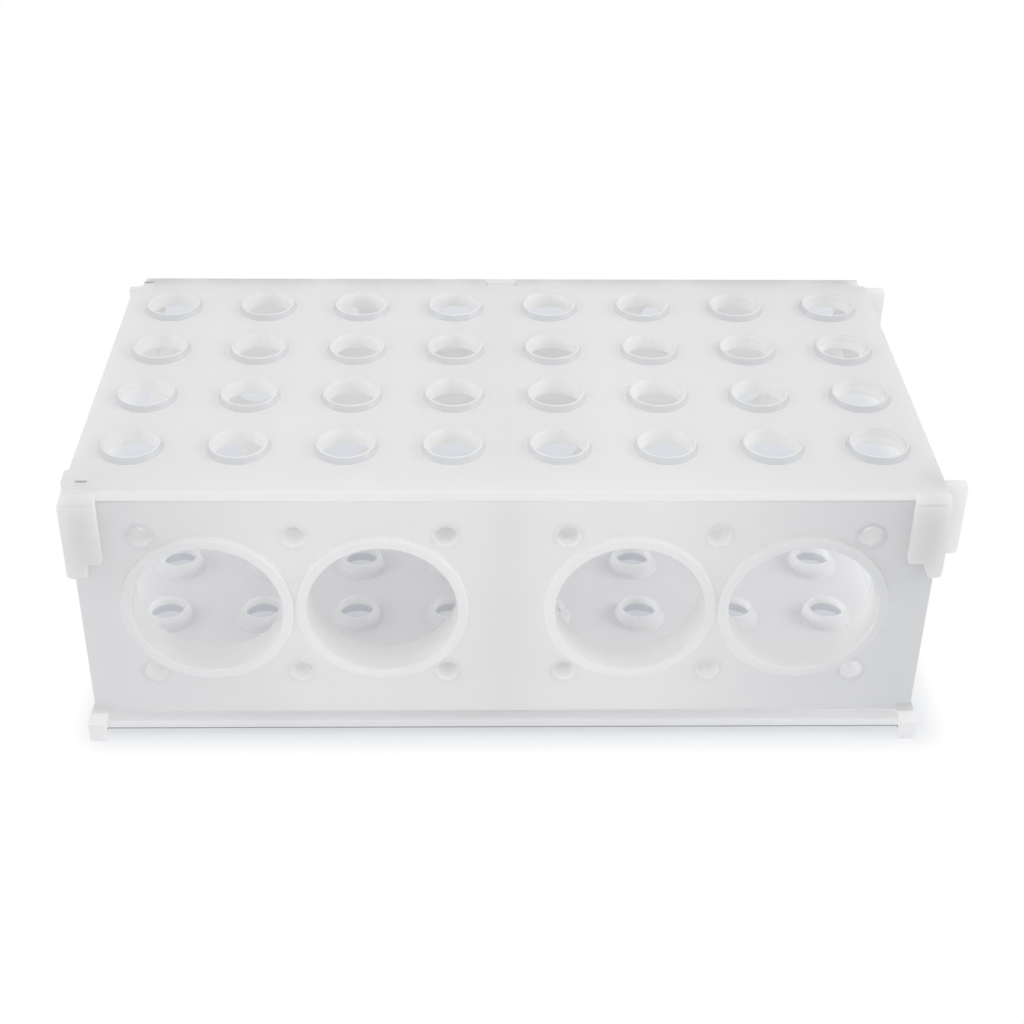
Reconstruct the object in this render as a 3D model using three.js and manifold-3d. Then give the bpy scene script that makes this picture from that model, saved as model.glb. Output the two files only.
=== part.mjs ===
// Four-way microcentrifuge tube rack in natural polypropylene, in millimetres with +Z up.
// It stands on four feet with its largest holes towards -Y.
// Each of its four long sides holds tubes of one size: turning the rack over brings up another.
// Tabs on the +X end slide into slots on the -X end of the next rack.
import * as THREE from "three";
import { ConvexGeometry } from "three/addons/geometries/ConvexGeometry.js";
import { mergeVertices } from "three/addons/utils/BufferGeometryUtils.js";
import Module from "manifold-3d";

// Overall sizes. X runs along the rack, Y across it, and the faces are measured from the centre of the holes.
const HALF_LENGTH = 88.25;
const HALF_DEPTH = 47.75;
const TOP = 63.5;
const FOOT_DROP = 2.125; // the feet reach this far below the bottom panel
const FIT = 0.25; // clearance between panels that slot together

// Wall thicknesses.
const TOP_WALL = 2.25;
const SIDE_WALL = 2;
const BOTTOM_WALL = 2.125;
const LIP = 1.25; // upper edge of the back panel, behind the top panel

const ROOF = TOP - TOP_WALL; // underside of the top panel
const FLOOR = FOOT_DROP + BOTTOM_WALL; // upper face of the bottom panel
const INNER_DEPTH = HALF_DEPTH - SIDE_WALL;
const SLOT = 2.75; // gap between the bottom panel and the lower edges of the front and back panels
const PANEL_FOOT = FLOOR + SLOT;
const SIDE_MIDDLE = (PANEL_FOOT + ROOF) / 2;

// Top and bottom holes: eight columns of four, for 1.5 ml tubes above and 0.5 ml tubes below.
const COLUMNS = 8;
const ROWS = 4;
const COLUMN_PITCH = 22;
const ROW_PITCH = 20.9;
const TOP_HOLE = { radius: 5.6, rim: 6.05, base: 6.85, proud: 1.4, segments: 18 };
const BOTTOM_HOLE = { radius: 4, rim: 4.6, base: 6.1, height: 3, recess: 5.1, roof: 2.35, segments: 14 };
const BOTTOM_SHIFT = -1; // the bottom holes stand this far along X from the top ones

// Front holes: four for 50 ml tubes, and sockets for the tips of the 15 ml tubes put in from the back.
const LARGE_X = [-61.6, -25.6, 25.6, 61.6];
const LARGE_Z = SIDE_MIDDLE + 0.875;
const LARGE_HOLE = { radius: 15.5, ring: 17.75, proud: 1.5, collar: 17, behind: 5, segments: 40 };
const TIP_X = [-73.9, -43.1, -12.4, 12.4, 43.1, 73.9];
const TIP_Z = [SIDE_MIDDLE - 16.125, SIDE_MIDDLE + 18.375];
const TIP_SOCKET = { radius: 2.35, collar: 3.5, behind: 4, segments: 16 };

// Back holes: twelve for 15 ml tubes, and sockets for the tips of the 50 ml tubes put in from the front.
const MEDIUM_HOLE = { radius: 8.6, ring: 10.1, proud: 1.25, segments: 28 };
const LARGE_SOCKET = { radius: 6, collar: 7.25, behind: 4, segments: 24 };

// Corner pads of the top panel, which hook over the ends of the front panel.
const PAD = {
  proud: 1.75,
  outer: HALF_LENGTH + 1,
  inner: HALF_LENGTH - 6.5,
  step: HALF_LENGTH - 3.25,
  low: TOP - 20.25,
  stepLow: TOP - 16.875,
  crease: TOP - 2.75,
};

// Feet of the bottom panel, flared outwards below the panels they hold.
const FOOT = {
  outer: HALF_LENGTH + 1.5,
  inner: HALF_LENGTH - 2.25,
  innerTop: HALF_LENGTH - 3.75,
  proud: 1.75,
  crease: FLOOR + 0.75,
  top: PANEL_FOOT + 1.75,
  reach: SIDE_WALL + 2,
};

// Interlock: tabs at the +X end, slotted posts at the -X end.
const TAB_THICKNESS = 1.25;
const TAB = {
  tip: HALF_LENGTH + 5,
  near: INNER_DEPTH - 1.75 - TAB_THICKNESS,
  far: INNER_DEPTH - 1.75,
  low: TOP - 17.875,
  high: TOP - 0.5,
  radius: 1.25,
};
const SLOT_CLEARANCE = 0.25;
const POST = {
  inner: HALF_LENGTH - 4.75,
  outer: HALF_LENGTH + 0.75,
  near: TAB.near - 3.25,
  far: INNER_DEPTH - FIT,
  radius: 1.25,
};
const RIGHT_POST_INNER = HALF_LENGTH - 3.5;

// Joints between the top and back panels.
const TONGUE = { halfWidth: 3.5, depth: 2.6, drop: 0.5 };
const LEFT_NOTCH = { x: HALF_LENGTH - 2.25, y: INNER_DEPTH - 3.625, floor: ROOF - 0.5 };
const RIGHT_NOTCH = { x: HALF_LENGTH - 3.5, y: INNER_DEPTH - 1.75 };
const BLOCK_OUTER = HALF_LENGTH - 1.125; // corner block of the back panel in the right notch
const BACK_DROP = 0.25; // the lip ends this far below the top face

// Centre partition: a web with a flange round its edge, set back where the side slots run past its foot.
const WEB = { half: 1, flangeHalf: 1.875, flange: 1.25, setBack: 3 };

const wasm = await Module();
wasm.setup();

// A three.js geometry as a solid for adding and cutting.
function solid(geometry) {
  geometry.deleteAttribute("normal");
  geometry.deleteAttribute("uv");
  const merged = mergeVertices(geometry, 1e-4);
  return new wasm.Manifold(
    new wasm.Mesh({
      numProp: 3,
      vertProperties: merged.attributes.position.array,
      triVerts: new Uint32Array(merged.index.array),
    }),
  );
}

// A box given by its lowest and highest corners.
function box(x0, x1, y0, y1, z0, z1) {
  const geometry = new THREE.BoxGeometry(x1 - x0, y1 - y0, z1 - z0);
  geometry.translate((x0 + x1) / 2, (y0 + y1) / 2, (z0 + z1) / 2);
  return solid(geometry);
}

// A cylinder along Z at (x, y), between two heights, or a cone whose upper end has another radius.
function post(x, y, radius, z0, z1, segments, upper = radius) {
  const geometry = new THREE.CylinderGeometry(upper, radius, z1 - z0, segments);
  geometry.rotateX(Math.PI / 2);
  geometry.translate(x, y, (z0 + z1) / 2);
  return solid(geometry);
}

// A cylinder along Y at (x, z), between two depths.
function drum(x, z, radius, y0, y1, segments) {
  const geometry = new THREE.CylinderGeometry(radius, radius, y1 - y0, segments);
  geometry.translate(x, (y0 + y1) / 2, z);
  return solid(geometry);
}

// An outline with rounded corners. Each corner is [x, y, radius].
function rounded(corners) {
  const shape = new THREE.Shape();
  corners.forEach(([x, y, radius], i) => {
    const [bx, by] = corners[(i + corners.length - 1) % corners.length];
    const [ax, ay] = corners[(i + 1) % corners.length];
    const before = new THREE.Vector2(bx - x, by - y).setLength(radius);
    const after = new THREE.Vector2(ax - x, ay - y).setLength(radius);
    const start = [x + before.x, y + before.y];
    if (i === 0) {
      shape.moveTo(...start);
    } else {
      shape.lineTo(...start);
    }
    if (radius > 0) {
      shape.quadraticCurveTo(x, y, x + after.x, y + after.y);
    }
  });
  shape.closePath();
  return shape;
}

// A flat plate that stands across Y: its outline is in X and Z, and it fills y0 to y1.
function upright(corners, y0, y1) {
  const geometry = new THREE.ExtrudeGeometry(rounded(corners), {
    depth: y1 - y0,
    bevelEnabled: false,
    curveSegments: 4,
  });
  geometry.rotateX(Math.PI / 2);
  geometry.translate(0, y1, 0);
  return solid(geometry);
}

// A block with its lower and upper faces given as [x0, x1, y0, y1, z].
function frustum(...faces) {
  const points = [];
  for (const [x0, x1, y0, y1, z] of faces) {
    for (const x of [x0, x1]) {
      for (const y of [y0, y1]) {
        points.push(new THREE.Vector3(x, y, z));
      }
    }
  }
  return solid(new ConvexGeometry(points));
}

const add = (parts) => wasm.Manifold.union(parts);
const cut = (body, tools) => body.subtract(wasm.Manifold.union(tools));
const flipX = (body) => body.mirror([1, 0, 0]);
const flipY = (body) => body.mirror([0, 1, 0]);

// Centres of the top and bottom holes.
const grid = [];
for (let i = 0; i < COLUMNS; i += 1) {
  for (let j = 0; j < ROWS; j += 1) {
    grid.push([(i - (COLUMNS - 1) / 2) * COLUMN_PITCH, (j - (ROWS - 1) / 2) * ROW_PITCH]);
  }
}
const tips = TIP_X.flatMap((x) => TIP_Z.map((z) => [x, z]));

// One corner pad at the -X end of the front, with the return that wraps the end of the front panel.
function cornerPad(lowInner) {
  const face = -HALF_DEPTH - PAD.proud;
  const outline = [
    [-PAD.inner, TOP, 0],
    [-PAD.inner, PAD.stepLow, 0.8],
    [-PAD.step, PAD.stepLow, 0],
    [-lowInner, PAD.low, 0.8],
    [-PAD.outer, PAD.low, 1],
    [-PAD.outer, TOP, 0],
  ];
  const pad = upright(outline, face, -HALF_DEPTH);
  const wrap = box(-PAD.outer, -HALF_LENGTH, face + 0.5, -INNER_DEPTH + 2.25, PAD.low + 1, TOP);
  const reach = -POST.near;
  const flare = frustum(
    [-PAD.outer, 0, face, reach, PAD.low],
    [-PAD.outer, 0, face, reach, PAD.crease],
    [-HALF_LENGTH, 0, -HALF_DEPTH, reach, TOP],
  );
  return add([pad, wrap]).intersect(flare);
}

// The top panel: a plate with raised tapering rings, corner pads, interlock tabs and slotted posts.
function topPanel() {
  const back = HALF_DEPTH - LIP;
  const parts = [box(-HALF_LENGTH, HALF_LENGTH, -HALF_DEPTH, back, ROOF, TOP)];
  const holes = [];
  for (const [x, y] of grid) {
    const { radius, rim, base, proud, segments } = TOP_HOLE;
    parts.push(post(x, y, base, TOP, TOP + proud, segments, rim));
    holes.push(post(x, y, radius, ROOF - 1, TOP + proud + 1, segments));
  }
  parts.push(cornerPad(PAD.step), flipX(cornerPad(PAD.step + 1.5)));
  for (const side of [-1, 1]) {
    const turn = side < 0 ? (body) => body : flipY;
    parts.push(turn(leftPost()));
    parts.push(turn(box(RIGHT_POST_INNER, HALF_LENGTH, -INNER_DEPTH, -POST.near, TAB.low, ROOF + 1)));
    parts.push(turn(tab()));
    holes.push(turn(leftSlit()));
  }
  const tongueHalf = TONGUE.halfWidth + FIT;
  holes.push(
    box(-HALF_LENGTH - 2, -LEFT_NOTCH.x, LEFT_NOTCH.y, HALF_DEPTH, LEFT_NOTCH.floor, TOP + 1),
    box(RIGHT_NOTCH.x, HALF_LENGTH + 1, RIGHT_NOTCH.y, HALF_DEPTH, ROOF, TOP + 1),
    box(-tongueHalf, tongueHalf, back - TONGUE.depth - FIT, HALF_DEPTH, ROOF - 1, TOP + 1),
  );
  return cut(add(parts), holes);
}

// One interlock tab at the front of the +X end.
function tab() {
  const outline = [
    [RIGHT_POST_INNER, TAB.low, 0],
    [TAB.tip, TAB.low, TAB.radius],
    [TAB.tip, TAB.high, TAB.radius],
    [RIGHT_POST_INNER, TAB.high, 0],
  ];
  return upright(outline, -TAB.far, -TAB.near);
}

// The front post at the -X end, slotted for the tab of the next rack.
function leftPost() {
  const shape = rounded([
    [-POST.outer, -POST.far, POST.radius],
    [-POST.inner, -POST.far, 0],
    [-POST.inner, -POST.near, 0],
    [-POST.outer, -POST.near, POST.radius],
  ]);
  const geometry = new THREE.ExtrudeGeometry(shape, {
    depth: TOP - TAB.low,
    bevelEnabled: false,
    curveSegments: 4,
  });
  geometry.translate(0, 0, TAB.low);
  const near = -TAB.near + SLOT_CLEARANCE;
  const far = -TAB.far - SLOT_CLEARANCE;
  const slot = box(-POST.outer - 1, -POST.inner - 0.75, far, near, TAB.low - 1, TOP - 1.5);
  return cut(solid(geometry), [slot]);
}

// The narrow slit over the slot of a post, where the core of the mould met the top face.
function leftSlit() {
  const near = -TAB.far - SLOT_CLEARANCE / 2;
  return box(-LEFT_NOTCH.x, -POST.inner - 0.25, near - 0.625, near, ROOF - 0.5, TOP + 1);
}

// The front panel: ringed holes for large tubes and small sockets for tube tips.
function frontPanel() {
  const face = -HALF_DEPTH;
  const inside = -INNER_DEPTH;
  const parts = [box(-HALF_LENGTH + FIT, HALF_LENGTH - FIT, face, inside, PANEL_FOOT, ROOF)];
  const holes = [];
  for (const x of LARGE_X) {
    const { radius, ring, proud, collar, behind, segments } = LARGE_HOLE;
    parts.push(drum(x, LARGE_Z, ring, face - proud, face + 1, segments));
    parts.push(drum(x, LARGE_Z, collar, face + 1, inside + behind, segments));
    holes.push(drum(x, LARGE_Z, radius, face - 3, inside + behind + 1, segments));
  }
  for (const [x, z] of tips) {
    const { radius, collar, behind, segments } = TIP_SOCKET;
    parts.push(drum(x, z, collar, face + 1, inside + behind, segments));
    holes.push(drum(x, z, radius, face - 1, inside + behind + 1, segments));
  }
  return cut(add(parts), holes);
}

// The back panel: ringed holes for medium tubes, sockets for large tubes, and the lip behind the top panel.
function backPanel() {
  const face = HALF_DEPTH;
  const inside = INNER_DEPTH;
  const lip = face - LIP;
  const parts = [
    box(-HALF_LENGTH + FIT, HALF_LENGTH - FIT, inside, face, PANEL_FOOT, ROOF),
    box(-LEFT_NOTCH.x, BLOCK_OUTER, lip, face, ROOF - 1, TOP - BACK_DROP),
    box(RIGHT_NOTCH.x + FIT, BLOCK_OUTER, RIGHT_NOTCH.y + FIT, face, ROOF, TOP - TONGUE.drop),
    box(-TONGUE.halfWidth, TONGUE.halfWidth, lip - TONGUE.depth, face, ROOF, TOP - TONGUE.drop),
  ];
  const holes = [];
  for (const [x, z] of tips) {
    const { radius, ring, proud, segments } = MEDIUM_HOLE;
    parts.push(drum(x, z, ring, face - 1, face + proud, segments));
    holes.push(drum(x, z, radius, inside - 1, face + proud + 1, segments));
  }
  for (const x of LARGE_X) {
    const { radius, collar, behind, segments } = LARGE_SOCKET;
    parts.push(drum(x, LARGE_Z, collar, inside - behind, face - 1, segments));
    holes.push(drum(x, LARGE_Z, radius, inside - behind - 1, face + 1, segments));
  }
  return cut(add(parts), holes);
}

// One foot at the front of the -X end, with the groove that the front panel stands in.
function foot() {
  const front = -HALF_DEPTH - FOOT.proud;
  const back = -HALF_DEPTH + FOOT.reach;
  const body = add([
    frustum(
      [-FOOT.outer, -FOOT.inner, front, back, 0],
      [-FOOT.outer, -FOOT.inner, front, back, FOOT.crease],
    ),
    frustum(
      [-FOOT.outer, -FOOT.inner, front, back, FOOT.crease],
      [-HALF_LENGTH, -FOOT.innerTop, -HALF_DEPTH, back, FOOT.top],
    ),
  ]);
  const groove = box(-HALF_LENGTH, 0, -HALF_DEPTH, -INNER_DEPTH, PANEL_FOOT, FOOT.top + 1);
  return cut(body, [groove]);
}

// The bottom panel: a plate with a foot at each corner. Its holes stand in tapering bosses, hollow below.
function bottomPanel() {
  const parts = [box(-HALF_LENGTH, HALF_LENGTH, -HALF_DEPTH, HALF_DEPTH, FOOT_DROP, FLOOR)];
  const holes = [];
  for (const [column, y] of grid) {
    const x = column + BOTTOM_SHIFT;
    const { radius, rim, base, height, recess, roof, segments } = BOTTOM_HOLE;
    parts.push(post(x, y, base, FLOOR, FLOOR + height, segments, rim));
    holes.push(post(x, y, recess, FOOT_DROP - 1, FLOOR + height - roof, segments));
    holes.push(post(x, y, radius, FOOT_DROP, FLOOR + height + 1, segments));
  }
  const front = foot();
  const back = flipY(front);
  parts.push(front, flipX(front), back, flipX(back));
  return cut(add(parts), holes);
}

// The centre partition, which stands between the panels across the middle of the rack.
function centrePartition() {
  const { half, flangeHalf, flange, setBack } = WEB;
  const body = add([
    box(-half, half, -INNER_DEPTH, INNER_DEPTH, FLOOR, ROOF),
    box(-flangeHalf, flangeHalf, -INNER_DEPTH, INNER_DEPTH, ROOF - flange, ROOF),
    box(-flangeHalf, flangeHalf, -INNER_DEPTH, INNER_DEPTH, FLOOR, FLOOR + flange),
    box(-flangeHalf, flangeHalf, -INNER_DEPTH, -INNER_DEPTH + flange, FLOOR, ROOF),
    box(-flangeHalf, flangeHalf, INNER_DEPTH - flange, INNER_DEPTH, FLOOR, ROOF),
  ]);
  const slot = box(-HALF_LENGTH, HALF_LENGTH, -HALF_DEPTH, setBack - INNER_DEPTH, 0, PANEL_FOOT);
  return cut(body, [slot, flipY(slot)]);
}

// A finished solid as a named mesh in milky translucent plastic.
function piece(name, body, colour) {
  const { vertProperties, triVerts } = body.getMesh();
  const geometry = new THREE.BufferGeometry();
  geometry.setAttribute("position", new THREE.BufferAttribute(vertProperties, 3));
  geometry.setIndex(new THREE.BufferAttribute(triVerts, 1));
  geometry.computeVertexNormals();
  const material = new THREE.MeshStandardMaterial({ color: colour, roughness: 0.5, metalness: 0 });
  const mesh = new THREE.Mesh(geometry, material);
  mesh.name = name;
  return mesh;
}

const rack = new THREE.Group();
rack.add(
  piece("top_panel", topPanel(), 0xe6e7e9),
  piece("front_panel", frontPanel(), 0xe2e2e2),
  piece("back_panel", backPanel(), 0xe2e2e2),
  piece("bottom_panel", bottomPanel(), 0xe3e2de),
  piece("centre_partition", centrePartition(), 0xe4e4e4),
);
// The origin is at the middle of the footprint, tabs and feet included.
rack.position.x = -(TAB.tip - FOOT.outer) / 2;

export default rack;
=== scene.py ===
"""Looks for the four-way microcentrifuge tube rack, in metres, in the frame's own axes.

Each panel is rebuilt with round holes and softened edges round the same sizes as its CAD node.
"""

from math import cos, pi, radians, sin, tan

import bmesh
import bpy
from mathutils import Euler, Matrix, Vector


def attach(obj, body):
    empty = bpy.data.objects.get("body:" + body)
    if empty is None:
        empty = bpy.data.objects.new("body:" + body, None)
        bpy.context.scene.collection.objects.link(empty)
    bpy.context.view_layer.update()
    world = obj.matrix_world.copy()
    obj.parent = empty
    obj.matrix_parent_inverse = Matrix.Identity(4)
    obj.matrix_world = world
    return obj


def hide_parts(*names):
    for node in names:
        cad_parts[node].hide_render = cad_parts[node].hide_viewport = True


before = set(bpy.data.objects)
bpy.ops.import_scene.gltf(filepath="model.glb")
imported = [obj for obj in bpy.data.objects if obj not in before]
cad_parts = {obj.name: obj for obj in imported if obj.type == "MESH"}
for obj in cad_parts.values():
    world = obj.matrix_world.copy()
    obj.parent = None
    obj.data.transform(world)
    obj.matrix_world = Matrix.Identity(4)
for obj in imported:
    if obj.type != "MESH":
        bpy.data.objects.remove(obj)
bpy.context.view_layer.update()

MM = 0.001

# Sizes in millimetres from the centre of the holes; the frame's origin lies this far along X from it.
ORIGIN_X = 1.75
HALF_LENGTH = 88.25
HALF_DEPTH = 47.75
TOP = 63.5
TOP_WALL = 2.25
SIDE_WALL = 2.0
FLOOR = 4.25
UNDER = 2.125
LIP = 1.25
FIT = 0.25
ROOF = TOP - TOP_WALL
INNER_DEPTH = HALF_DEPTH - SIDE_WALL
PANEL_FOOT = 7.0
EDGE = 0.3  # rounding of moulded edges
SEAM = 0.03  # hairline between panels that touch
PROUD = 1.75  # pads and feet stand this far out from the front and the back
PAD_REACH = HALF_DEPTH + PROUD
PAD_END = HALF_LENGTH + 1.0  # the pads wrap round the ends of the top up to here
PAD_SIDE = 81.75  # the inner side of a pad
PAD_FOOT = 43.25  # its lower edge

COLUMN_PITCH = 22.0
ROW_PITCH = 20.9
GRID = [((i - 3.5) * COLUMN_PITCH, (j - 1.5) * ROW_PITCH) for i in range(8) for j in range(4)]
BOTTOM_SHIFT = -1.0  # the bottom holes stand this far along X from the top ones
LARGE_PAIR = 43.6  # the middle of each pair of large holes
LARGE_HALF = 18.0  # half the distance within a pair
LARGE_X = [side * LARGE_PAIR + half for side in (-1, 1) for half in (-LARGE_HALF, LARGE_HALF)]
LARGE_Z = 35.0
LARGE_RADIUS = 15.5
TIP_PITCH = 30.75
TIP_FIRST = 12.4  # the sockets next to the middle of the rack
TIP_X = (-73.9, -43.1, -TIP_FIRST, TIP_FIRST, 43.1, 73.9)
TIP_LOW, TIP_HIGH = 18.0, 52.5
TIPS = [(x, z) for x in TIP_X for z in (TIP_LOW, TIP_HIGH)]
SLIT_X = (-86.0, -83.75)  # the slit that opens each slotted post through the top
SLIT_Y = (44.125, 44.75)


# ---------------------------------------------------------------- node helpers


def node(tree, kind, settings=None, **links):
    """Adds a node, sets its properties and plain inputs, and links the sockets given."""
    made = tree.nodes.new(kind)
    for key, value in (settings or {}).items():
        setattr(made, key, value)
    for key, value in links.items():
        name = key.replace("__", " ")
        socket = made.inputs[int(name[1:])] if name[0] == "i" and name[1:].isdigit() else made.inputs[name]
        if isinstance(value, bpy.types.NodeSocket):
            tree.links.new(value, socket)
        else:
            socket.default_value = value
    return made


def srgb(code):
    """A hex colour as linear RGBA."""
    parts = [int(code[i : i + 2], 16) / 255 for i in (0, 2, 4)]
    linear = [c / 12.92 if c <= 0.04045 else ((c + 0.055) / 1.055) ** 2.4 for c in parts]
    return (*linear, 1.0)


class Field:
    """A value that varies from place to place; arithmetic on it adds Math nodes to its tree."""

    def __init__(self, tree, socket):
        self.tree = tree
        self.socket = socket

    def maths(self, operation, other=0.0, tolerance=0.0):
        other = other.socket if isinstance(other, Field) else other
        inputs = {"i0": self.socket, "i1": other, "i2": tolerance}
        made = node(self.tree, "ShaderNodeMath", {"operation": operation}, **inputs)
        return Field(self.tree, made.outputs[0])

    def __add__(self, other):
        return self.maths("ADD", other)

    def __sub__(self, other):
        return self.maths("SUBTRACT", other)

    def __mul__(self, other):
        return self.maths("MULTIPLY", other)

    def __abs__(self):
        return self.maths("ABSOLUTE")

    def over(self, limit):
        return self.maths("GREATER_THAN", limit * MM)

    def under(self, limit):
        return self.maths("LESS_THAN", limit * MM)

    def near(self, middle, reach):
        """One within this reach of the middle, both in millimetres."""
        return self.maths("COMPARE", middle * MM, reach * MM)

    def most(self, other):
        return self.maths("MAXIMUM", other)

    def rest(self):
        """What is left of one."""
        made = node(self.tree, "ShaderNodeMath", {"operation": "SUBTRACT"}, i0=1.0, i1=self.socket)
        return Field(self.tree, made.outputs[0])

    def folded(self, pitch):
        """Its offset from the nearest place that lies half a pitch off the multiples of the pitch."""
        return self.maths("FLOORED_MODULO", pitch * MM) - pitch / 2 * MM

    def round_spot(self, other, radius):
        """One inside a circle of this radius, where the two fields are the offsets from its centre."""
        return (self * self + other * other).maths("SQRT").under(radius)


def ramp(tree, value, low, high, to_low=0.0, to_high=1.0):
    """A clamped straight change from to_low at low to to_high at high."""
    made = node(tree, "ShaderNodeMapRange", Value=value)
    made.inputs["From Min"].default_value = low
    made.inputs["From Max"].default_value = high
    made.inputs["To Min"].default_value = to_low
    made.inputs["To Max"].default_value = to_high
    return made.outputs["Result"]


def darker(tree, colour, where, code):
    """The colour, multiplied by that of the code as far as the field says."""
    made = node(
        tree,
        "ShaderNodeMixRGB",
        {"blend_type": "MULTIPLY"},
        Fac=where.socket,
        Color1=colour,
        Color2=srgb(code),
    )
    return made.outputs["Color"]


# ---------------------------------------------------------------- materials


def places(tree, place):
    """Fields from zero to one that say how far each part of the rack looks unlike a plain wall, painted shade
    among them.
    """
    spot = node(tree, "ShaderNodeSeparateXYZ", Vector=place).outputs
    across = Field(tree, spot["X"]) + ORIGIN_X * MM
    depth = Field(tree, spot["Y"])
    height = Field(tree, spot["Z"])
    aside = abs(across)
    across_y = abs(depth)
    on_front = depth.under(-35.0)
    found = {}

    # Raised rings and pads, and the bores of the large holes.
    from_large = abs(aside - LARGE_PAIR * MM) - LARGE_HALF * MM
    bore = from_large.round_spot(height - LARGE_Z * MM, LARGE_RADIUS + 0.2) * on_front
    proud = across_y.over(HALF_DEPTH + 0.05)
    above = height.over(TOP + 0.1)
    found["thick"] = proud.most(above)

    # The sloping walls of the rings on the top, whose colour is darkened here as painted shade.
    normal = node(tree, "ShaderNodeNewGeometry").outputs["Normal"]
    facing = Field(tree, node(tree, "ShaderNodeSeparateXYZ", Vector=normal).outputs["Z"])
    found["taper"] = facing.maths("COMPARE", 0.5, 0.2) * above

    # The lower front and back edges of the floor, and half as much the slits in the top, are darkened as
    # painted shade: the dark line under the lip and inside the slits.
    edge = height.near(UNDER + 0.1, 0.35) * across_y.near(HALF_DEPTH, 0.3)
    slit = across.near(sum(SLIT_X) / 2, 1.2) * across_y.near(sum(SLIT_Y) / 2, 0.4) * height.over(ROOF)
    found["shaded_lines"] = edge.most(slit * 0.5)

    # The hollows under the bottom holes, darkened and tinted blue as painted shade, and the upper walls of
    # the bosses round them.
    boss = (across - BOTTOM_SHIFT * MM).folded(COLUMN_PITCH).round_spot(depth.folded(ROW_PITCH), 5.3)
    boss = boss * across_y.under(40.0)
    lips = height.near(FLOOR + 1.9, 1.25) * boss
    found["hollow"] = boss * height.under(FLOOR + 0.6)

    # The tip sockets, the seam under the top, the pads at its corners, and the floor.
    level = abs(height - (TIP_LOW + TIP_HIGH) / 2 * MM) - (TIP_HIGH - TIP_LOW) / 2 * MM
    from_tip = (aside + (TIP_PITCH / 2 - TIP_FIRST) * MM).folded(TIP_PITCH)
    socket = from_tip.round_spot(level, 3.4) * on_front
    seam = height.near(ROOF - 0.15, 0.3) * across_y.over(HALF_DEPTH - 0.6)
    pads = proud * (aside.over(PAD_SIDE - 0.75) * height.over(PAD_FOOT - 1.25))
    floor = height.under(FLOOR + 0.1)

    # More light leaves here than through a plain wall, by these shares of it.
    glowing = (socket.most(seam) * 0.45).most(pads * 0.2)
    glowing = glowing.most(floor * 0.12).most(bore.most(lips) * 0.25)
    found["glowing"] = glowing * found["hollow"].rest()

    # Painted shade: the skin of the front darkens slowly towards its ends, most at the +X end, and that of
    # the top less.
    ends = Field(tree, ramp(tree, (aside + across * 0.15).socket, 35.0 * MM, 101.0 * MM))
    front = depth.under(0.6 - HALF_DEPTH) * height.over(PANEL_FOOT + 0.1) * height.under(ROOF)
    front = front * bore.most(pads).rest()
    found["painted_end_shade"] = ends * front.most(height.over(TOP - 0.4) * 0.35)
    return found


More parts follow.
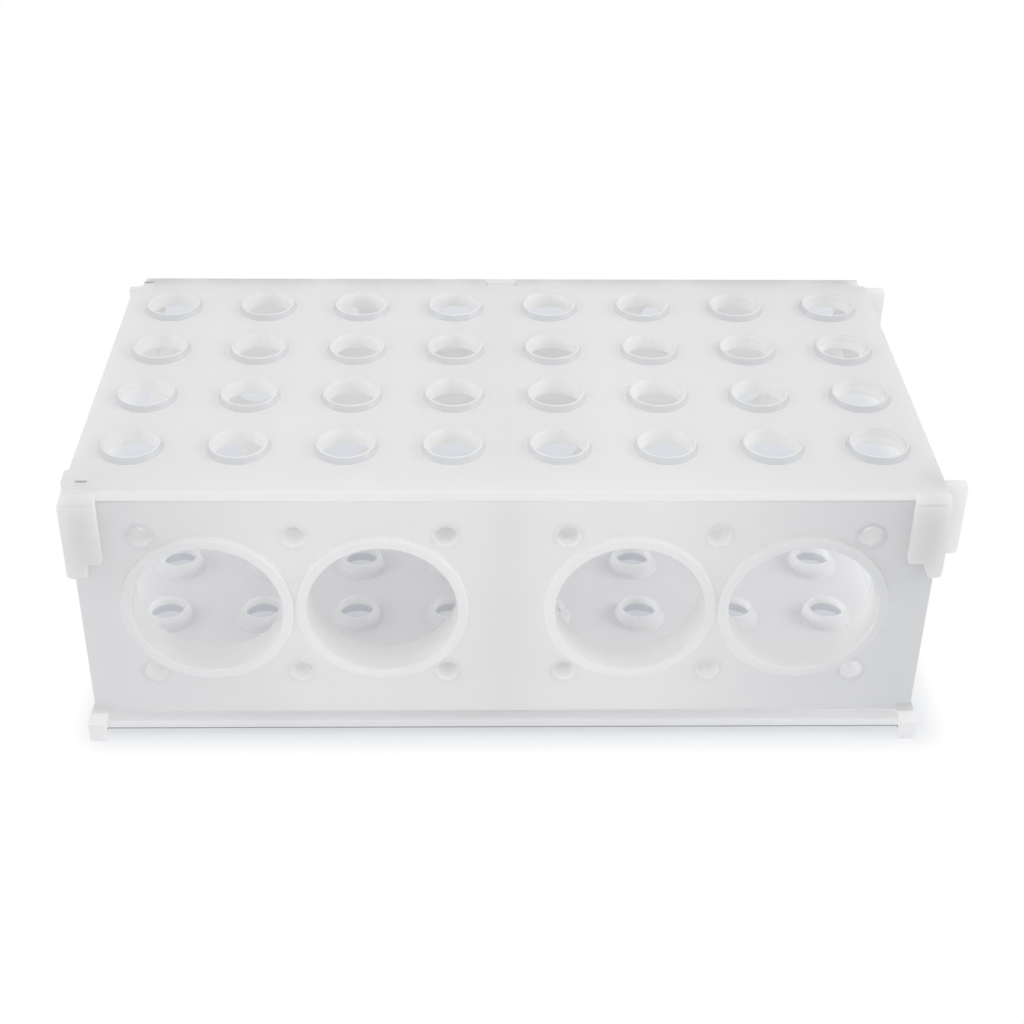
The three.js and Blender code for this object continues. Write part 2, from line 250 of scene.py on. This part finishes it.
def natural_polypropylene():
    """Natural polypropylene, injection moulded.

    The unpigmented plastic is milky, so walls pass a soft light and show nothing sharply behind them.
    The steel tool leaves a fine satin skin.
    """
    material = bpy.data.materials.new("natural_polypropylene_moulded")
    material.use_nodes = True
    tree = material.node_tree
    shader = tree.nodes["Principled BSDF"]
    shader.inputs["IOR"].default_value = 1.49
    place = node(tree, "ShaderNodeTexCoord").outputs["Object"]

    # Flow of the melt: slow, barely visible changes in milkiness, about 30 mm across.
    flow = node(tree, "ShaderNodeTexNoise", Vector=place, Scale=33.0, Detail=3.0, Roughness=0.5)
    tone = node(tree, "ShaderNodeValToRGB", Fac=flow.outputs["Fac"])
    for element, position, code in zip(tone.color_ramp.elements, (0.3, 0.7), ("FBFAF8", "FDFCFA")):
        element.position = position
        element.color = srgb(code)

    # Satin skin: roughness wanders a little over a few millimetres.
    skin = node(tree, "ShaderNodeTexNoise", Vector=place, Scale=260.0, Detail=2.0)
    satin = ramp(tree, skin.outputs["Fac"], 0.0, 1.0, 0.34, 0.46)
    tree.links.new(satin, shader.inputs["Roughness"])

    # Tool texture of about 0.25 mm, with a few hundredths of a millimetre of waviness under it.
    grain = node(tree, "ShaderNodeTexNoise", Vector=place, Scale=4000.0, Detail=1.0)
    wave = node(tree, "ShaderNodeTexNoise", Vector=place, Scale=90.0, Detail=1.0)
    fine = node(tree, "ShaderNodeBump", Height=grain.outputs["Fac"], Strength=0.25, Distance=0.01 * MM)
    bump = node(
        tree,
        "ShaderNodeBump",
        Height=wave.outputs["Fac"],
        Strength=0.3,
        Distance=0.1 * MM,
        Normal=fine.outputs["Normal"],
    )
    tree.links.new(bump.outputs["Normal"], shader.inputs["Normal"])

    at = places(tree, place)
    end_shade_code = "E8E9EA"
    colour = tone.outputs["Color"]
    # Painted shade, multiplied into the colour: the ring slopes, the dark lines under the lip and in the
    # slits, the hollows under the bosses, and the ends of the front and the top.
    shades = (("taper", "D2D6DA"), ("shaded_lines", "8A9098"), ("hollow", "EAEEF3"), ("painted_end_shade", end_shade_code))
    for name, code in shades:
        colour = darker(tree, colour, at[name], code)
    tree.links.new(colour, shader.inputs["Base Color"])

    # A plain wall passes this share of the light that enters it, a thick part less, and a hollow and the dark
    # lines less as part of their painted shade.
    wall, less_thick, less_hollow, less_in_shaded_lines = 0.46, 0.12, 0.3, 0.8
    passed = at["thick"] * -less_thick + wall
    passed = passed + (at["glowing"] - at["hollow"] * less_hollow)
    passed = passed * (at["shaded_lines"] * less_in_shaded_lines).rest()
    # The painted end shade darkens the light passed through the ends too.
    passing = darker(tree, srgb("FEFEFF"), at["painted_end_shade"], end_shade_code)
    through = node(tree, "ShaderNodeBsdfTranslucent", Color=passing)
    body = node(tree, "ShaderNodeMixShader", i0=passed.socket, i1=shader.outputs[0], i2=through.outputs[0])
    tree.links.new(body.outputs[0], tree.nodes["Material Output"].inputs["Surface"])
    return material


PLASTIC = natural_polypropylene()


# ---------------------------------------------------------------- mesh helpers


def mesh_object(name, mesh):
    made = bpy.data.objects.new(name, mesh)
    bpy.context.scene.collection.objects.link(made)
    return made


def from_bmesh(name, bm):
    """Turns a bmesh into an object of its own and frees it."""
    mesh = bpy.data.meshes.new(name)
    bm.to_mesh(mesh)
    bm.free()
    return mesh_object(name, mesh)


def from_loops(name, loops):
    """A closed body from stacked loops of equal length, in millimetres, capped at both ends."""
    bm = bmesh.new()
    rings = [[bm.verts.new(Vector(p) * MM) for p in loop] for loop in loops]
    for low, high in zip(rings, rings[1:]):
        for i in range(len(low)):
            j = (i + 1) % len(low)
            bm.faces.new((low[i], low[j], high[j], high[i]))
    bm.faces.new(list(reversed(rings[0])))
    bm.faces.new(rings[-1])
    bmesh.ops.recalc_face_normals(bm, faces=bm.faces)
    return from_bmesh(name, bm)


def inset(outline, amount):
    """The outline, given counter-clockwise, moved inwards by an amount."""
    moved = []
    count = len(outline)
    for i, (x, y) in enumerate(outline):
        before = Vector((x - outline[i - 1][0], y - outline[i - 1][1])).normalized()
        after = Vector((outline[(i + 1) % count][0] - x, outline[(i + 1) % count][1] - y)).normalized()
        left = Vector((-before.y - after.y, before.x + after.x))
        scale = 1 + before.dot(after)
        moved.append((x + left.x * amount / scale, y + left.y * amount / scale))
    return moved


def rounded(corners, steps=5):
    """An outline whose corners, each (x, y, radius), are turned to arcs."""
    outline = []
    count = len(corners)
    for i, (x, y, radius) in enumerate(corners):
        if not radius:
            outline.append((x, y))
            continue
        here = Vector((x, y))
        before = (Vector(corners[i - 1][:2]) - here).normalized()
        after = (Vector(corners[(i + 1) % count][:2]) - here).normalized()
        half = before.angle(after) / 2
        reach = radius / tan(half)
        centre = here + (before + after).normalized() * (radius / sin(half))
        start = here + before * reach - centre
        turn = pi - 2 * half
        side = 1 if before.cross(after) < 0 else -1
        for k in range(steps + 1):
            angle = side * turn * k / steps
            outline.append(
                (
                    centre.x + start.x * cos(angle) - start.y * sin(angle),
                    centre.y + start.x * sin(angle) + start.y * cos(angle),
                )
            )
    return outline


def slab(name, outline, low, high, edge=EDGE, lift=None, far_edge=None):
    """A plate with softened edges, those of its high face by far_edge where that is given.

    lift places a point (u, v, height) of the plate in space.
    """
    place = lift or (lambda u, v, h: (u - ORIGIN_X, v, h))
    far_edge = edge if far_edge is None else far_edge
    steps = 3  # faces across a softened edge
    loops = []
    for k in range(steps + 1):
        angle = pi / 2 * k / steps
        ring = inset(outline, edge * (1 - sin(angle)))
        loops.append([place(u, v, low + edge * (1 - cos(angle))) for u, v in ring])
    for k in range(steps, -1, -1):
        angle = pi / 2 * k / steps
        ring = inset(outline, far_edge * (1 - sin(angle)))
        loops.append([place(u, v, high - far_edge * (1 - cos(angle))) for u, v in ring])
    return from_loops(name, loops)


def rectangle(x0, x1, y0, y1):
    return [(x0, y0), (x1, y0), (x1, y1), (x0, y1)]


def standing(u, v, h):
    """Places an outline drawn in X and Z, with its height measured along +Y."""
    return (u - ORIGIN_X, h, v)


def block(name, x0, x1, y0, y1, z0, z1, edge=EDGE):
    return slab(name, rectangle(x0, x1, y0, y1), z0, z1, edge)


def hull(name, points, edge=0.0):
    """The convex body round the points, in millimetres, with its edges softened."""
    bm = bmesh.new()
    for x, y, z in points:
        bm.verts.new(Vector((x - ORIGIN_X, y, z)) * MM)
    bmesh.ops.convex_hull(bm, input=bm.verts)
    bmesh.ops.dissolve_limit(bm, angle_limit=radians(1), verts=bm.verts, edges=bm.edges)
    if edge:
        bmesh.ops.bevel(
            bm,
            geom=bm.edges[:] + bm.verts[:],
            offset=edge * MM,
            segments=3,
            profile=0.5,
            affect="EDGES",
            clamp_overlap=True,
        )
    bmesh.ops.recalc_face_normals(bm, faces=bm.faces)
    return from_bmesh(name, bm)


def mirrored(name, source, axis, keep=False):
    """A body mirrored across the middle of the rack, with its faces kept outwards."""
    mesh = source.data.copy()
    for vert in mesh.vertices:
        if axis == "x":
            vert.co.x = -2 * ORIGIN_X * MM - vert.co.x
        else:
            vert.co.y = -vert.co.y
    mesh.flip_normals()
    if not keep:
        bpy.data.objects.remove(source)
    return mesh_object(name, mesh)


def taken(target, tools, operation):
    """Joins solids to a body, or cuts them from it, and removes them."""
    for tool in tools:
        modifier = target.modifiers.new("solid", "BOOLEAN")
        modifier.solver = "MANIFOLD"
        modifier.operation = operation
        modifier.object = tool
        applied(target)
        bpy.data.objects.remove(tool)
    return target


def applied(target):
    """Turns the evaluated object into its own plain mesh and drops the modifiers."""
    graph = bpy.context.evaluated_depsgraph_get()
    mesh = bpy.data.meshes.new_from_object(target.evaluated_get(graph))
    target.modifiers.clear()
    target.data = mesh


# ---------------------------------------------------------------- repeated holes


def hole_tree():
    """Geometry Nodes: a rounded collar at every point of the object, straight or tapering outside."""
    tree = bpy.data.node_groups.new("holes_at_points", "GeometryNodeTree")
    face = tree.interface
    face.new_socket("Geometry", in_out="INPUT", socket_type="NodeSocketGeometry")
    for name in ("Bore radius", "Outer radius", "Rim radius", "Low", "High", "Rounding"):
        face.new_socket(name, in_out="INPUT", socket_type="NodeSocketFloat")
    face.new_socket("Segments", in_out="INPUT", socket_type="NodeSocketInt")
    face.new_socket("Turn", in_out="INPUT", socket_type="NodeSocketVector")
    face.new_socket("Material", in_out="INPUT", socket_type="NodeSocketMaterial")
    face.new_socket("Geometry", in_out="OUTPUT", socket_type="NodeSocketGeometry")
    given = node(tree, "NodeGroupInput").outputs

    bore = Field(tree, given["Bore radius"])
    rim = Field(tree, given["Rim radius"])
    low = Field(tree, given["Low"])
    high = Field(tree, given["High"])
    width = Field(tree, given["Outer radius"]) - bore
    rim_width = rim - bore
    middle = (rim + bore) * 0.5
    section = node(
        tree,
        "GeometryNodeCurvePrimitiveQuadrilateral",
        {"mode": "TRAPEZOID"},
        Bottom__Width=rim_width.socket,
        Top__Width=width.socket,
        Offset=((width - rim_width) * 0.5).socket,
        Height=(high - low).socket,
    )
    softened = node(
        tree,
        "GeometryNodeFilletCurve",
        {"mode": "POLY"},
        Curve=section.outputs[0],
        Count=4,
        Radius=given["Rounding"],
    )
    path = node(tree, "GeometryNodeCurvePrimitiveCircle", Resolution=given["Segments"], Radius=middle.socket)
    collar = node(
        tree, "GeometryNodeCurveToMesh", Curve=path.outputs[0], Profile__Curve=softened.outputs[0]
    )
    offset = node(tree, "ShaderNodeCombineXYZ", Z=((high + low) * 0.5).socket)
    raised = node(
        tree, "GeometryNodeTransform", Geometry=collar.outputs[0], Translation=offset.outputs[0]
    )
    copies = node(
        tree,
        "GeometryNodeInstanceOnPoints",
        Points=given["Geometry"],
        Instance=raised.outputs[0],
        Rotation=given["Turn"],
    )
    real = node(tree, "GeometryNodeRealizeInstances", Geometry=copies.outputs[0])
    dressed = node(
        tree, "GeometryNodeSetMaterial", Geometry=real.outputs[0], Material=given["Material"]
    )
    node(tree, "NodeGroupOutput", Geometry=dressed.outputs[0])
    return tree


HOLES = hole_tree()


def repeated(name, points, **sizes):
    """Runs the hole tree on the points and returns its result as a plain mesh."""
    mesh = bpy.data.meshes.new(name)
    mesh.from_pydata([Vector((x - ORIGIN_X, y, z)) * MM for x, y, z in points], [], [])
    made = mesh_object(name, mesh)
    modifier = made.modifiers.new("holes", "NODES")
    modifier.node_group = HOLES
    for item in HOLES.interface.items_tree:
        if item.in_out == "INPUT" and item.name in sizes:
            modifier[item.identifier] = sizes[item.name]
    applied(made)
    return made


def collars(name, points, bore, outer, low, high, segments, turn=(0, 0, 0), rounding=0.45, rim=None):
    return repeated(
        name,
        points,
        **{
            "Bore radius": bore * MM,
            "Outer radius": outer * MM,
            "Rim radius": (rim or outer) * MM,
            "Low": low * MM,
            "High": high * MM,
            "Rounding": rounding * MM,
            "Segments": segments,
            "Turn": turn,
            "Material": PLASTIC,
        },
    )


def cutters(name, points, radius, low, high, segments, turn=(0, 0, 0)):
    """Plain round tools that open the plate for the collars."""
    bm = bmesh.new()
    spin = Euler(turn).to_matrix()
    for x, y, z in points:
        rings = []
        for height in (low, high):
            ring = []
            for k in range(segments):
                angle = 2 * pi * k / segments
                arm = spin @ Vector((radius * cos(angle), radius * sin(angle), height))
                ring.append(bm.verts.new((arm + Vector((x - ORIGIN_X, y, z))) * MM))
            rings.append(ring)
        for k in range(segments):
            j = (k + 1) % segments
            bm.faces.new((rings[0][k], rings[0][j], rings[1][j], rings[1][k]))
        bm.faces.new(list(reversed(rings[0])))
        bm.faces.new(rings[1])
    return from_bmesh(name, bm)


def finished(piece, *nodes):
    """Smooths the rounded edges, keeps flats flat, and hands the piece to the frame."""
    mesh = piece.data
    mesh.materials.clear()
    mesh.materials.append(PLASTIC)
    for face in mesh.polygons:
        face.material_index = 0
        face.use_smooth = True
    mesh.set_sharp_from_angle(angle=radians(38))
    weighted = piece.modifiers.new("flats", "WEIGHTED_NORMAL")
    weighted.keep_sharp = True
    weighted.weight = 80
    applied(piece)
    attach(piece, "root")
    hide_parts(*nodes)
    return piece


# ---------------------------------------------------------------- top panel


def corner_pad(name, low_inner):
    """The pad that hooks over the front panel at the -X end."""
    step = PAD_FOOT + 3.375
    outline = rounded(
        [
            (-PAD_END, TOP, 0),
            (-PAD_END, PAD_FOOT, 1.1),
            (-low_inner, PAD_FOOT, 0.9),
            (-85.0, step, 0.5),
            (-PAD_SIDE, step, 1.0),
            (-PAD_SIDE, TOP, 0),
        ]
    )
    pad = slab(name, outline, -PAD_REACH, -HALF_DEPTH - SEAM, 0.45, standing, far_edge=0.05)
    wrap = block("wrap", -PAD_END, -HALF_LENGTH, 0.5 - PAD_REACH, -43.5, PAD_FOOT + 1, TOP, 0.25)
    neck = block("neck", -PAD_END, -82.5, 1 - PAD_REACH, -46.5, ROOF, TOP, 0.05)
    pad = taken(pad, [wrap, neck], "UNION")
    flare = hull(
        "flare",
        [
            (x, y, z)
            for x0, y0, z in (
                (-PAD_END, -PAD_REACH, 40.0),
                (-PAD_END, -PAD_REACH, 60.75),
                (-HALF_LENGTH, -HALF_DEPTH, TOP),
            )
            for x in (x0, -70.0)
            for y in (y0, -40.0)
        ],
        0.35,
    )
    return taken(pad, [flare], "INTERSECT")


def left_post(name):
    """The slotted post at the front of the -X end."""
    outline = rounded([(-89.0, -45.5, 1.25), (-83.5, -45.5, 0), (-83.5, -39.5, 0), (-89.0, -39.5, 1.25)])
    body = slab(name, outline, 45.625, 63.7, 0.3)
    slot = block("slot", -92.0, -84.25, -44.25, -42.5, 40.0, 62.0, 0.1)
    return taken(body, [slot], "DIFFERENCE")


def tab(name):
    """The interlock tab at the front of the +X end."""
    outline = rounded([(84.75, 45.625, 0), (93.25, 45.625, 1.25), (93.25, 63.0, 1.25), (84.75, 63.0, 0)])
    return slab(name, outline, -44.0, -42.75, 0.2, standing)


def top_panel():
    back = HALF_DEPTH - LIP
    outline = rounded(
        [
            (-HALF_LENGTH, -HALF_DEPTH, 0),
            (HALF_LENGTH, -HALF_DEPTH, 0),
            (HALF_LENGTH, 44.0, 0.4),
            (84.75, 44.0, 0.3),
            (84.75, back, 0.5),
            (3.75, back, 0),
            (3.75, back - 2.85, 0.3),
            (-3.75, back - 2.85, 0.3),
            (-3.75, back, 0),
            (-86.0, back, 0.8),
            (-86.0, 42.125, 0.4),
            (-HALF_LENGTH, 42.125, 0.8),
        ],
        3,
    )
    plate = slab("top_panel_look", outline, ROOF, TOP, 0.1, far_edge=EDGE)
    holes = [(x, y, 0) for x, y in GRID]
    plate = taken(plate, [cutters("cut", holes, 6.2, ROOF - 1, TOP + 1, 64)], "DIFFERENCE")
    # The rings taper from 6.85 at the top face to a narrow rim.
    taper = 0.8 / 1.4
    rings = collars("rings", holes, 5.6, 6.85 + TOP_WALL * taper, ROOF, TOP + 1.4, 64, rounding=0.2, rim=6.05)
    left_pad = corner_pad("left_pad", 85.0)
    right_pad = mirrored("right_pad", corner_pad("right_source", 86.5), "x")
    parts = [rings, left_pad, right_pad]
    for side in ("front", "back"):
        pieces = [
            left_post("left_post"),
            block("right_post", 84.75, HALF_LENGTH, -INNER_DEPTH, -39.5, 45.625, ROOF + 0.5, 0.25),
            tab("tab"),
        ]
        if side == "back":
            pieces = [mirrored(piece.name + "_turned", piece, "y") for piece in pieces]
            notch = block("notch", -92.0, SLIT_X[0], 42.125, 50.0, 60.75, 70.0, 0.0)
            pieces[0] = taken(pieces[0], [notch], "DIFFERENCE")
        parts += pieces
    plate = taken(plate, parts, "UNION")
    slits = [
        block("slit", *SLIT_X, *sorted(side * y for y in SLIT_Y), ROOF - 0.5, TOP + 1, 0.0)
        for side in (1, -1)
    ]
    plate = taken(plate, slits, "DIFFERENCE")
    return finished(plate, "top_panel")


# ---------------------------------------------------------------- front and back panels

TO_FRONT = (pi / 2, 0, 0)  # turns +Z to -Y
TO_BACK = (-pi / 2, 0, 0)


def gate_mark(name, x, z):
    """The small nub left on the front where the plastic was let into the mould."""
    bm = bmesh.new()
    bmesh.ops.create_uvsphere(bm, u_segments=16, v_segments=10, radius=0.5 * MM)
    for vert in bm.verts:
        vert.co = Vector((vert.co.x, vert.co.y * 0.7, vert.co.z * 0.8))
        vert.co += Vector((x - ORIGIN_X, -HALF_DEPTH, z)) * MM
    return from_bmesh(name, bm)


def front_panel():
    reach = HALF_LENGTH - FIT
    plate = slab(
        "front_panel_look",
        [(-reach, ROOF - SEAM), (-reach, PANEL_FOOT), (reach, PANEL_FOOT), (reach, ROOF - SEAM)],
        -HALF_DEPTH,
        -INNER_DEPTH,
        0.35,
        standing,
        far_edge=0.12,
    )
    large = [(x, 0, LARGE_Z) for x in LARGE_X]
    small = [(x, 0, z) for x, z in TIPS]
    cuts = [
        cutters("cut", large, 16.2, 40, 52, 96, TO_FRONT),
        cutters("cut", small, 2.9, 40, 52, 32, TO_FRONT),
    ]
    plate = taken(plate, cuts, "DIFFERENCE")
    rim, tail = HALF_DEPTH + 1.5, INNER_DEPTH - 5
    parts = [
        collars("large_rings", large, LARGE_RADIUS, 17.75, INNER_DEPTH, rim, 96, TO_FRONT, 0.35),
        collars("large_collars", large, LARGE_RADIUS, 17.0, tail, HALF_DEPTH - 0.5, 96, TO_FRONT, 0.4),
        collars("tip_sockets", small, 2.35, 3.5, INNER_DEPTH - 4, HALF_DEPTH, 32, TO_FRONT, 0.15),
        gate_mark("left_gate", -LARGE_PAIR, 42.5),
        gate_mark("right_gate", LARGE_PAIR, 42.5),
    ]
    return finished(taken(plate, parts, "UNION"), "front_panel")


def back_panel():
    reach = HALF_LENGTH - FIT
    lip = HALF_DEPTH - LIP
    plate = slab(
        "back_panel_look",
        [(-reach, ROOF - SEAM), (-reach, PANEL_FOOT), (reach, PANEL_FOOT), (reach, ROOF - SEAM)],
        INNER_DEPTH,
        HALF_DEPTH,
        0.12,
        standing,
    )
    medium = [(x, 0, z) for x, z in TIPS]
    large = [(x, 0, LARGE_Z) for x in LARGE_X]
    plate = taken(
        plate,
        [
            block("lip", -86.0, 87.125, lip, HALF_DEPTH, ROOF - 1, TOP - 0.25, 0.25),
            block("corner", 85.0, 87.125, 44.25, HALF_DEPTH, ROOF - 1, TOP - 0.5, 0.2),
            block("tongue", -3.5, 3.5, lip - 2.6, HALF_DEPTH, ROOF, TOP - 0.5, 0.2),
        ],
        "UNION",
    )
    cuts = [
        cutters("cut", medium, 9.2, 40, 52, 64, TO_BACK),
        cutters("cut", large, 6.6, 35, 52, 48, TO_BACK),
    ]
    plate = taken(plate, cuts, "DIFFERENCE")
    parts = [
        collars("medium_rings", medium, 8.6, 10.1, INNER_DEPTH, HALF_DEPTH + 1.25, 64, TO_BACK),
        collars("large_sockets", large, 6.0, 7.25, INNER_DEPTH - 4, HALF_DEPTH, 48, TO_BACK, 0.4),
    ]
    return finished(taken(plate, parts, "UNION"), "back_panel")


# ---------------------------------------------------------------- bottom panel and partition


def foot(name):
    """The flared foot at the front of the -X end, with its groove for the front panel."""
    front, back = -PAD_REACH, -43.75
    low = hull(
        name,
        [(x, y, z) for x in (-89.75, -86.0) for y in (front, back) for z in (0.0, 5.0)],
        0.35,
    )
    high = hull(
        "foot_top",
        [
            (x, y, z)
            for x0, x1, y0, z in (
                (-89.75, -86.0, front, 4.2),
                (-HALF_LENGTH, -84.5, -HALF_DEPTH, 8.75),
            )
            for x in (x0, x1)
            for y in (y0, back)
        ],
        0.2,
    )
    groove = block(
        "groove", -88.1, -70.0, -HALF_DEPTH - SEAM, SEAM - INNER_DEPTH, PANEL_FOOT - SEAM, 12.0, 0.0
    )
    return taken(taken(low, [high], "UNION"), [groove], "DIFFERENCE")


def bottom_panel():
    plate = slab(
        "bottom_panel_look",
        rectangle(-HALF_LENGTH, HALF_LENGTH, -HALF_DEPTH, HALF_DEPTH),
        UNDER,
        FLOOR,
        EDGE,
    )
    holes = [(x + BOTTOM_SHIFT, y, 0) for x, y in GRID]
    plate = taken(plate, [cutters("cut", holes, 5.5, UNDER - 1, FLOOR + 1, 48)], "DIFFERENCE")
    # Each boss tapers from 6.1 at the floor and is hollow from below, with the bore through its roof.
    walls = collars("boss_walls", holes, 5.1, 7.16, UNDER, FLOOR + 0.7, 48, rounding=0.1, rim=5.75)
    roofs = collars("boss_roofs", holes, 4.0, 5.775, FLOOR + 0.65, FLOOR + 3.0, 48, rounding=0.2, rim=4.6)
    parts = [taken(walls, [roofs], "UNION")]
    first = foot("foot_front_left")
    parts += [
        mirrored("foot_front_right", first, "x", keep=True),
        mirrored("foot_back_left", first, "y", keep=True),
    ]
    parts.append(mirrored("foot_back_right", parts[-1], "x", keep=True))
    parts.append(first)
    return finished(taken(plate, parts, "UNION"), "bottom_panel")


def centre_partition():
    end = INNER_DEPTH - SEAM
    low, high = FLOOR + SEAM, ROOF - SEAM
    web = block("centre_partition_look", -1.0, 1.0, -end, end, low, high, 0.1)
    flanges = [
        block("flange", -1.875, 1.875, -end, end, high - 1.25, high, 0.1),
        block("flange", -1.875, 1.875, -end, end, low, low + 1.25, 0.1),
        block("flange", -1.875, 1.875, -end, 1.25 - end, low, high, 0.1),
        block("flange", -1.875, 1.875, end - 1.25, end, low, high, 0.1),
    ]
    web = taken(web, flanges, "UNION")
    # Below the feet of the front and back panels its ends stand 3 mm back from them.
    set_back = (INNER_DEPTH - 3.0, 50.0)
    corners = [
        block("corner", -3.0, 3.0, *sorted(side * y for y in set_back), 0.0, PANEL_FOOT, 0.0)
        for side in (1, -1)
    ]
    return finished(taken(web, corners, "DIFFERENCE"), "centre_partition")


top_panel()
front_panel()
back_panel()
bottom_panel()
centre_partition()


# ---------------------------------------------------------------- stage, light and camera


def seen_rays(tree):
    """One for the camera's own rays and for those that reach it by a mirror or through the plastic."""
    rays = node(tree, "ShaderNodeLightPath").outputs
    mirrored_rays = Field(tree, rays["Is Glossy Ray"]).most(Field(tree, rays["Is Transmission Ray"]))
    return Field(tree, rays["Is Camera Ray"]).most(mirrored_rays)


def white_sweep():
    """A matt white sheet that looks white to the camera; near the rack a painted shadow of its own grey tone
    shows, which also holds the real soft shadow.
    """
    material = bpy.data.materials.new("white_paper_sweep")
    material.use_nodes = True
    tree = material.node_tree
    tree.nodes.clear()
    paper = node(tree, "ShaderNodeBsdfDiffuse", Color=srgb("B9BBBD"))
    glow = node(tree, "ShaderNodeEmission", Color=srgb("F6F9FF"), Strength=0.34)
    matt = node(tree, "ShaderNodeAddShader", i0=paper.outputs[0], i1=glow.outputs[0])
    bright = node(tree, "ShaderNodeEmission", Color=srgb("FFFFFF"), Strength=1.0)

    def vectors(operation, a, b):
        return node(tree, "ShaderNodeVectorMath", {"operation": operation}, i0=a, i1=b).outputs[0]

    # Under the rack, and in a drawn box behind it, the sheet shows its own grey tone, a painted shadow
    #  that also holds the real one; a little further out it is burnt out to white. The painted shade is 18 mm
    #  wider at both ends than the rack.
    place = node(tree, "ShaderNodeTexCoord").outputs["Object"]
    along = node(tree, "ShaderNodeSeparateXYZ", Vector=place).outputs["Y"]
    wider = ramp(tree, along, 0.02, 0.06, 0.0, 0.018)
    shade = node(tree, "ShaderNodeCombineXYZ", X=wider)
    offset = vectors("ABSOLUTE", vectors("SUBTRACT", place, (0.0, 0.0605, 0.0)), (0.0, 0.0, 0.0))
    offset = vectors("SUBTRACT", offset, shade.outputs[0])
    outside = vectors("MAXIMUM", vectors("SUBTRACT", offset, (0.086, 0.1045, 0.0)), (0.0, 0.0, 0.0))
    away = node(tree, "ShaderNodeVectorMath", {"operation": "LENGTH"}, i0=outside)
    burnt = Field(tree, ramp(tree, away.outputs["Value"], 0.0, 0.01))
    share = seen_rays(tree) * burnt
    mixed = node(tree, "ShaderNodeMixShader", i0=share.socket, i1=matt.outputs[0], i2=bright.outputs[0])
    node(tree, "ShaderNodeOutputMaterial", Surface=mixed.outputs[0])
    mesh = bpy.data.meshes.new("sweep")
    mesh.from_pydata([(-4, -4, 0), (4, -4, 0), (4, 4, 0), (-4, 4, 0)], [], [(0, 1, 2, 3)])
    mesh.materials.append(material)
    sweep = mesh_object("sweep", mesh)


def studio_world():
    """Even white light from every side, as in a light tent."""
    world = bpy.data.worlds.new("light_tent")
    world.use_nodes = True
    tree = world.node_tree
    tree.nodes.clear()
    seen = node(tree, "ShaderNodeBackground", Color=srgb("FFFFFF"), Strength=1.0)
    tent = node(tree, "ShaderNodeBackground", Color=srgb("FCFCFF"), Strength=0.6)
    rays = seen_rays(tree).socket
    mixed = node(tree, "ShaderNodeMixShader", i0=rays, i1=tent.outputs[0], i2=seen.outputs[0])
    node(tree, "ShaderNodeOutputWorld", Surface=mixed.outputs[0])
    bpy.context.scene.world = world


def softbox(name, place, target, width, height, watts):
    """A rectangular lamp at a place, in metres, turned to its target."""
    light = bpy.data.lights.new(name, "AREA")
    light.shape = "RECTANGLE"
    light.size = width
    light.size_y = height
    light.energy = watts
    lamp = bpy.data.objects.new(name, light)
    bpy.context.scene.collection.objects.link(lamp)
    lamp.location = place
    lamp.rotation_euler = (Vector(target) - Vector(place)).to_track_quat("-Z", "Y").to_euler()


white_sweep()
studio_world()
softbox("key", (-0.2, -0.5, 1.0), (0, 0, 0.03), 0.7, 0.7, 0.9)
softbox("fill", (-0.15, -1.0, 0.25), (0, 0, 0.03), 0.6, 0.3, 1.3)
softbox("right", (1.4, -0.1, 0.8), (0.02, 0, 0.02), 0.5, 0.5, 7.6)
softbox("left", (-1.4, -0.1, 0.8), (-0.02, 0, 0.02), 0.5, 0.5, 3.5)

camera_data = bpy.data.cameras.new("camera")
camera_data.sensor_width = 36.0
camera_data.lens = 61.765
camera_data.clip_start = 0.01
camera_data.clip_end = 20.0
camera = bpy.data.objects.new("camera", camera_data)
bpy.context.scene.collection.objects.link(camera)
camera.location = (-0.00877, -0.34013, 0.25333)
camera.rotation_euler = (radians(56.341), radians(-0.69), radians(-1.093))
bpy.context.scene.camera = camera
bpy.context.scene.view_settings.view_transform = "Standard"
